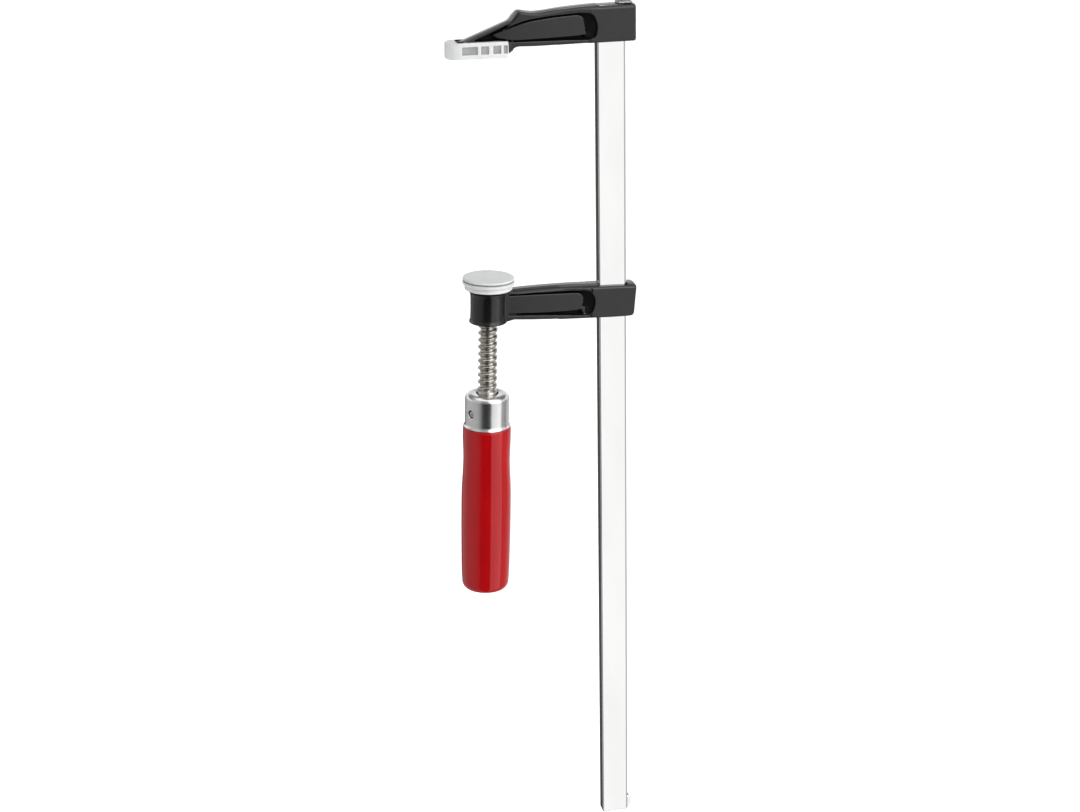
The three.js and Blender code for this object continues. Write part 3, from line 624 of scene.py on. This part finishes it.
arm_panel_side = [(7, 20), (40, 20.2), (64.6, 20.2, 2), (67.3, 18, 2), (68, 13.6, 3), (66.6, 10.4, 1.4),
                  (68.8, 8.6, 1.2), (64.8, 7.6, 1.6), (56.2, 6.9, 4), (38, 6.6, 6), (7, 6.9)]
arm_forms += facing_pair("arm panel", arm_panel_side, panel_draft)
arm_corner_side = [(66, 11), (73, 9.6), (75.6, 3.4), (68, 3), (65.4, 7.6)]
arm_forms += facing_pair("pocket corner", arm_corner_side, corner_draft, 4)
boss_form = [(0.01, 0), (12.6, 0), (13.4, 0.3), (13.55, 1.0), (13.1, 1.9), (12.75, 3.0), (12.65, 6),
             (12.6, 11)]
boss_form += [(12.65, 17), (12.75, 20), (13.1, 21.2), (13.5, 21.9), (13.3, 22.6), (12.5, 22.8), (0.01, 22.8)]
boss = turned("boss", boss_form, 96)
root_side = [(8, 1.2), (13.5, 1.4), (18, 2.6), (14.4, 4.5), (12.4, 9), (12.4, 17), (14, 21), (17.5, 22.6),
             (8, 22.6)]
boss_root = cast_form("boss root", root_side, [(-6.9, -0.6), (-6, 0), (6, 0), (6.9, -0.6)])
sliding_arm = cast_skin("arm_casting", arm_body, *arm_forms, boss, boss_root)
nut_bore = thread("nut bore", -2, 25, crest_radius + 0.45, 0.2, 48, 120, None)
low_mouth = turned("low mouth", [(0.01, -3), (8.4, -3), (8.4, 0), (6.6, 1.8), (0.01, 1.8)], 48)
top_mouth = turned("top mouth", [(0.01, 21), (6.6, 21), (8.4, 22.8), (8.4, 26), (0.01, 26)], 48)
slot_side = [(78.83, -5.3, 0.8), (100.3, -5.3, 0.8), (100.3, 5.3, 0.8), (78.83, 5.3, 0.8)]
arm_slot = upright_form("arm slot", slot_side, [(-3, 0), (29, 0)], 4)
worked(sliding_arm, "DIFFERENCE", nut_bore, low_mouth, top_mouth, arm_slot)
smooth(sliding_arm, 40)
painted(sliding_arm, arm_pocket_side)
carried(sliding_arm)
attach(sliding_arm, "arm")
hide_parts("sliding_arm")

# Spindle: a steel screw with a coarse rolled thread, turned down to a grooved ball above and to a plain
# tang inside the grip below. It is left bare and a little oily, with dark roots.

screw_steel, tree, shader, place = finish("rolled screw steel", Metallic=1.0)
mottle = speckle(tree, place, 380.0, 4.0, 0.7)
grime = speckle(tree, place, 120.0, 3.0)
edge_mask = use(tree, edge_wear_and_sheen, Edge=0.52, Scale=500.0, Amount=1.0)["Wear"]
steel_tones = [(0.3, (0.2, 0.185, 0.165)), (0.5, (0.46, 0.44, 0.4)), (0.72, (0.68, 0.66, 0.62))]
steel_tone = ramp(tree, mottle, steel_tones)
crests = wire(tree, "ShaderNodeMix", {0: edge_mask, 6: steel_tone, 7: (0.78, 0.76, 0.72, 1)}, data_type="RGBA")
tree.links.new(crests.outputs[2], shader.inputs["Base Color"])
oily = sum_of(tree, "MULTIPLY_ADD", mottle, -0.2, sum_of(tree, "MULTIPLY_ADD", grime, 0.2, 0.3))
tree.links.new(oily, shader.inputs["Roughness"])
bump(tree, shader, mottle, 0.35, 0.00012)

spindle = thread("screw", -51.6, 21, crest_radius, 1.6, 64, 650, screw_steel)
shank_form = [(0.01, -120), (4.3, -120), (4.9, -119.4), (4.9, -61.5), (6.2, -61.5), (6.8, -60.9)]
shank_form += [(6.8, -51.5), (6.6, -51.1), (0.01, -51.1)]
shank = turned("shank", shank_form, 48)
ball_centre = (0, 25.4)
ball_radius = 3.6
ball_form = [(0.01, 20), (5.4, 20), (5.9, 20.9), (5.6, 21.3), (3.2, 21.5), (2.1, 21.9), (2.1, 22.4)]
ball_form += arc(ball_centre, ball_radius, -54, -11, 8) + [(3.0, 24.75), (3.0, 26.05)]
ball = turned("ball", ball_form + arc(ball_centre, ball_radius, 11, 89.5, 14), 48)
screw = smooth(gathered("screw_and_ball", spindle, shank, ball), 40)
coated(screw, screw_steel)
carried(screw)
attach(screw, "screw")
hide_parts("spindle")

# Swivel plate and its snap ring: a turned steel plate whose socket takes the ball, and an open ring of
# spring wire that sits in the ball's groove and keeps the plate on.

socket_radius = 3.9
plate_form = [(0.01, 29.3)] + arc(ball_centre, socket_radius, 88, 18, 10) + [(4.45, 26.55), (4.45, 24.2)]
plate_form += arc(ball_centre, socket_radius, -19, -37, 4) + [(5.6, 22.95), (6, 23.3), (6, 25.2), (7, 26.3)]
plate_form += [(14.6, 27.1), (15.2, 27.35), (15.5, 27.9), (15.5, 30.1), (15.35, 30.5), (14.9, 30.7),
               (0.01, 30.7)]
swivel_plate = smooth(turned("swivel_plate", plate_form, 96), 35)
coated(swivel_plate, screw_steel)
carried(swivel_plate)
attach(swivel_plate, "plate")
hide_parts("pressure_plate")

ring_radius, wire_radius, wire_sides, wire_steps = 3.7, 0.45, 12, 60
wire_rings = []
for i in range(wire_steps + 1):
    bend = math.radians(25 + 310 * i / wire_steps)
    wire_rings.append([])
    for x, y in arc((ring_radius, ball_centre[1]), wire_radius, 0, 360, wire_sides)[:-1]:
        wire_rings[-1].append((x * math.cos(bend), x * math.sin(bend), y))
spring_ring = smooth(skinned("spring_ring", wire_rings), 50)
coated(spring_ring, screw_steel)
carried(spring_ring)
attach(spring_ring, "carriage")
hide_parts("snap_ring")

# Plate cap: a soft plastic cap snapped over the swivel plate. A groove under its top disc is coloured dark
# grey as painted shade, and another parts its thick band from the lower rim.

groove_foot, groove_top = 30.5, 31.75
cap_form = [(0.01, 31), (15.75, 31), (15.8, 30.8), (15.8, 26), (15.5, 25.3), (15.4, 24.9), (15.6, 24.7),
            (16.7, 24.7), (16.9, 24.95), (16.9, 26.6), (16.75, 27.0), (16.5, 27.3), (16.5, 27.75),
            (16.7, 28.0), (17.7, 28.15), (18.2, 28.45), (18.38, 29.0), (18.4, 30.3), (18.15, groove_foot),
            (17.1, 30.75), (17.0, 31.45), (18.1, 31.65), (18.35, 31.9), (18.3, 32.3), (18.0, 32.85),
            (17.5, 33.12), (16.6, 33.2), (0.01, 33.2)]
plate_cover = smooth(turned("plate_cover", cap_form, 128), 32)
cap_plastic, tree, shader, place = finish("soft grey plastic", Transmission_Weight=0.22, IOR=1.5)
cloud = speckle(tree, place, 140.0, 3.0)
skin = speckle(tree, place, 1000.0, 2.0)
milk = ramp(tree, cloud, [(0.3, (0.53, 0.535, 0.54)), (0.7, (0.6, 0.605, 0.61))])
tree.links.new(milk, shader.inputs["Base Color"])
tree.links.new(sum_of(tree, "MULTIPLY_ADD", skin, 0.14, 0.33), shader.inputs["Roughness"])
bump(tree, shader, sum_of(tree, "MULTIPLY_ADD", cloud, 0.5, skin), 0.12, 0.00008)
# Dark grey plastic for the groove under the top disc: painted shade in the groove.
groove_painted_shade, tree, shader, place = finish("plastic darkened in the groove as painted shade", IOR=1.5)
cloud = speckle(tree, place, 180.0, 3.0)
shaded = ramp(tree, cloud, [(0.3, (0.24, 0.243, 0.246)), (0.7, (0.31, 0.314, 0.318))])
tree.links.new(shaded, shader.inputs["Base Color"])
tree.links.new(sum_of(tree, "MULTIPLY_ADD", cloud, 0.14, 0.3), shader.inputs["Roughness"])
bump(tree, shader, cloud, 0.12, 0.00008)
coated(plate_cover, cap_plastic, groove_painted_shade)
# The groove's faces take the dark plastic, as painted shade.
for face in plate_cover.data.polygons:
    if groove_foot < face.center.z / MM < groove_top:
        face.material_index = 1
carried(plate_cover)
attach(plate_cover, "plate_cover")
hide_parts("plate_cap")

# Ferrule: a cup drawn from bright steel sheet, pressed over the top of the grip and slightly flared at
# its foot. A cross pin holds it, staked in a punched dimple on each side.

pin_turn = Matrix.Rotation(math.radians(-150), 4, "Z")
pin_height = -66.2
cup_corner = (11.85, -56.8)
cup_form = [(8, -54.3)] + arc(cup_corner, 2.5, 90, 0, 8)
cup_form += [(14.35, -75.5), (14.75, -76.3), (15.45, -77.2), (16.75, -77.2), (16.95, -77.1), (16.7, -76.7),
             (16.2, -76.0), (15.9, -75.2), (15.85, -74.2), (15.85, -56.8)]
cup_form += arc(cup_corner, 4, 3, 90, 14) + [(8.5, -52.8), (8.15, -52.95), (8, -53.3), (8, -54.3)]
ferrule_cup = turned("ferrule_cup", cup_form, 128)


def across_screw(name, profile, sides=40):
    """A turned tool or pin laid across the screw, along the cross pin; heights run outward."""
    obj = turned(name, profile, sides)
    laid = pin_turn @ Matrix.Rotation(math.radians(90), 4, "Y")
    obj.data.transform(Matrix.Translation((0, 0, pin_height * MM)) @ laid)
    return obj


for side in (1, -1):
    punch = [(0.01, 13), (2.75, 13), (2.8, 15.0), (3.0, 15.4), (3.6, 15.8), (4.8, 16.3), (6, 18), (0.01, 18)]
    worked(ferrule_cup, "DIFFERENCE", across_screw("punch", [(out, side * along) for out, along in punch]))
smooth(ferrule_cup, 30)
polished_steel, tree, shader, place = finish("polished sheet steel", Metallic=1.0)
marks = use(tree, drawn_lines, Along=30.0, Across=700.0)
smear = speckle(tree, place, 90.0, 4.0)
tone = ramp(tree, smear, [(0.3, (0.64, 0.645, 0.645)), (0.7, (0.72, 0.725, 0.725))])
tree.links.new(tone, shader.inputs["Base Color"])
satin = sum_of(tree, "MULTIPLY_ADD", smear, 0.08, 0.15)
satin = sum_of(tree, "MULTIPLY_ADD", marks["Streaks"], 0.08, satin)
tree.links.new(satin, shader.inputs["Roughness"])
bump(tree, shader, marks["Lines"], 0.2, 0.00003)
coated(ferrule_cup, polished_steel)
carried(ferrule_cup)
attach(ferrule_cup, "screw")
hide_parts("ferrule")

pin_form = [(0.01, -15.2), (1.2, -15.1), (1.9, -14.8), (2.4, -14.2), (2.4, 14.2), (1.9, 14.8), (1.2, 15.1),
            (0.01, 15.2)]
cross_pin = smooth(across_screw("staked_pin", pin_form), 40)
coated(cross_pin, screw_steel)
carried(cross_pin)
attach(cross_pin, "screw")
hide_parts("cross_pin")

# Grip: hardwood turned to a long waisted handle, its tenon pushed into the ferrule, and dipped in thick
# gloss red lacquer that lies a little uneven over the grain.

shoulder = -77.5
grip_length = 126.0
grip_radius = 18.05
grip_foot = -203.5
grip_face = 13
grip_shares = [(0, 0.925), (0.006, 0.948), (0.02, 0.96), (0.06, 0.962), (0.1, 0.956), (0.15, 0.943),
               (0.2, 0.936), (0.24, 0.941), (0.29, 0.956), (0.33, 0.974), (0.37, 0.988), (0.42, 0.997),
               (0.5, 1), (0.6, 0.999), (0.7, 0.993), (0.78, 0.986), (0.86, 0.977), (0.92, 0.963),
               (0.955, 0.948)]
grip_form = [(0.01, -54.6), (12.2, -54.6), (14.05, -56.6), (14.05, shoulder)]
grip_form += [(grip_radius * out, shoulder - grip_length * down) for down, out in grip_shares]
end_radius, end_height = grip_form[-1]
corner_height = end_height - grip_foot - 0.1
for i in range(1, 17):
    a = math.pi / 2 * i / 16
    out = grip_face + (end_radius - grip_face) * math.cos(a)
    grip_form.append((out, end_height - corner_height * math.sin(a)))
grip_form += [(9, grip_foot + 0.02), (4, grip_foot), (0.01, grip_foot)]
grip_wood = turned("grip_wood", grip_form, 128)
tang_form = [(0.01, -120.3), (5.2, -120.3), (5.2, -61.8), (8, -61.8), (8, -50), (0.01, -50)]
tang_bore = turned("tang bore", tang_form, 48)
pin_bore = across_screw("pin bore", [(0.01, -20), (2.7, -20), (2.7, 20), (0.01, 20)])
worked(grip_wood, "DIFFERENCE", tang_bore, pin_bore)
smooth(grip_wood, 35)
red_lacquer, tree, shader, place = finish("gloss red lacquer on wood", IOR=1.46)
grain = speckle(tree, place, 260.0, 5.0, 0.65, stretch=(1, 1, 0.05))
pull = speckle(tree, place, 60.0, 2.0, stretch=(1, 1, 0.35))
depth = sum_of(tree, "MULTIPLY_ADD", grain, 0.5, sum_of(tree, "MULTIPLY", pull, 0.5))
red = ramp(tree, depth, [(0.35, (0.215, 0.0003, 0.0014)), (0.65, (0.27, 0.0006, 0.0022))])
edge_mask = use(tree, edge_wear_and_sheen, Edge=0.58, Scale=700.0, Amount=0.3)["Wear"]
rubbed_red = wire(tree, "ShaderNodeMix", {0: edge_mask, 6: red, 7: (0.42, 0.03, 0.03, 1)}, data_type="RGBA")
tree.links.new(rubbed_red.outputs[2], shader.inputs["Base Color"])
tree.links.new(sum_of(tree, "MULTIPLY_ADD", pull, 0.08, 0.06), shader.inputs["Roughness"])
bump(tree, shader, sum_of(tree, "MULTIPLY_ADD", grain, 0.25, pull), 0.12, 0.00025)
coated(grip_wood, red_lacquer)
carried(grip_wood)
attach(grip_wood, "screw")
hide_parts("grip")

# Studio: a pale floor well below the clamp, white all round, and dark cards before the camera and behind
# for the steel to mirror. A large soft key stands on the right, a weaker fill on the left, and a tall
# white card close by at the front right.

floor_height = -0.9
floor_plan = [(-14, -8), (14, -8), (14, 22), (-14, 22)]
floor_mesh = bpy.data.meshes.new("floor")
floor_mesh.from_pydata([(x, y, floor_height) for x, y in floor_plan], [], [(0, 1, 2, 3)])
floor = bpy.data.objects.new("floor", floor_mesh)
bpy.context.scene.collection.objects.link(floor)
floor.visible_glossy = False
pale, tree, shader, place = finish("pale floor", Roughness=0.9, Specular_IOR_Level=0.0, Emission_Strength=0.3)
soft = speckle(tree, place, 0.6, 2.0)
tree.links.new(ramp(tree, soft, [(0.3, 0.9), (0.7, 0.92)]), shader.inputs["Base Color"])
floor_mesh.materials.append(pale)

world = bpy.data.worlds.new("studio")
bpy.context.scene.world = world
world.use_nodes = True
tree = world.node_tree
tree.nodes.clear()
look = wire(tree, "ShaderNodeTexCoord").outputs["Generated"]
way = wire(tree, "ShaderNodeSeparateXYZ", {0: look}).outputs
azimuth = sum_of(tree, "MULTIPLY_ADD", sum_of(tree, "ARCTAN2", way["Y"], way["X"]), 1 / (2 * math.pi), 0.5)


def around(stops):
    """A card ring of greys round the clamp, from stops of (azimuth in degrees, brightness up to 4)."""
    grey = ramp(tree, azimuth, [((a + 180) / 360, b / 4) for a, b in stops])
    return sum_of(tree, "MULTIPLY", wire(tree, "ShaderNodeRGBToBW", {0: grey}).outputs[0], 4.0)


below = around([(-180, 0.55), (-150, 0.48), (-139, 0.36), (-124, 0.05), (-112, 0.03), (-60, 0.03),
                (-28, 0.4), (8, 0.44), (24, 0.6), (68, 0.8), (92, 0.75), (96, 0.05), (113, 0.05),
                (118, 0.55), (180, 0.55)])
horizon = around([(-180, 0.6), (-142, 0.6), (-130, 0.3), (-92, 0.3), (-80, 1.2), (-35, 1.2), (-20, 0.9),
                  (20, 1.1), (150, 1.1), (180, 0.6)])
above = around([(-180, 0.7), (-142, 0.7), (-130, 0.35), (-92, 0.35), (-80, 2.6), (-35, 2.6), (-20, 0.9),
                (20, 0.22), (150, 0.22), (180, 0.7)])
rise = wire(tree, "ShaderNodeMapRange", {"Value": way["Z"], "From Min": -0.02, "From Max": 0.03}).outputs[0]
lift = wire(tree, "ShaderNodeMapRange", {"Value": way["Z"], "From Min": 0.34, "From Max": 0.46}).outputs[0]
top = wire(tree, "ShaderNodeMapRange", {"Value": way["Z"], "From Min": 0.75, "From Max": 0.9}).outputs[0]
lower = wire(tree, "ShaderNodeMix", {0: rise, 2: below, 3: horizon}).outputs[0]
sides = wire(tree, "ShaderNodeMix", {0: lift, 2: lower, 3: above}).outputs[0]
dome = wire(tree, "ShaderNodeMix", {0: top, 2: sides, 3: 1.4}).outputs[0]
seen = wire(tree, "ShaderNodeLightPath").outputs["Is Camera Ray"]
strength = wire(tree, "ShaderNodeMix", {0: seen, 2: dome, 3: 1.0}).outputs[0]
back = wire(tree, "ShaderNodeBackground", {"Color": (1, 1, 1, 1), "Strength": strength})
tree.links.new(back.outputs[0], wire(tree, "ShaderNodeOutputWorld").inputs["Surface"])

for name, stand, aim, size, watts, mirrored in (
        ("soft key", (1.5, -0.95, 0.6), (0.04, 0, -0.2), (1.1, 1.1), 20, False),
        ("soft fill", (-1.3, -0.4, 0.4), (0, 0, -0.1), (1.0, 1.0), 6.5, False),
        ("white card", (0.49, -0.4, -0.4), (0.49, 0, -0.4), (0.84, 1.7), 4.6, True)):
    light = bpy.data.lights.new(name, "AREA")
    light.shape = "RECTANGLE"
    light.size, light.size_y = size
    light.energy = watts
    lamp = bpy.data.objects.new(name, light)
    bpy.context.scene.collection.objects.link(lamp)
    lamp.location = stand
    lamp.rotation_euler = (Vector(aim) - lamp.location).to_track_quat("-Z", "Y").to_euler()
    lamp.visible_camera = False
    lamp.visible_glossy = mirrored
bpy.context.scene.view_settings.view_transform = "Standard"

# Camera: level with the fixed jaw and a little above it, turned to look down on the clamp as in the
# photograph, with a long lens.

heading = math.radians(-12)
pitch = math.radians(19.53)
roll = math.radians(-0.98)
ahead = Vector((-math.sin(heading) * math.cos(pitch), math.cos(heading) * math.cos(pitch), -math.sin(pitch)))
level = Vector((math.cos(heading), math.sin(heading), 0))
upright = level.cross(ahead)
right = math.cos(roll) * level + math.sin(roll) * upright
up = -math.sin(roll) * level + math.cos(roll) * upright
photo_width, focal_pixels = 1080, 2148
lens = bpy.data.cameras.new("camera")
lens.sensor_width = 36
lens.lens = focal_pixels * lens.sensor_width / photo_width
camera = bpy.data.objects.new("camera", lens)
bpy.context.scene.collection.objects.link(camera)
camera_place = Matrix.Translation((-0.267, -1.428, 0.263))
camera.matrix_world = camera_place @ Matrix((right, up, -ahead)).transposed().to_4x4()
bpy.context.scene.camera = camera
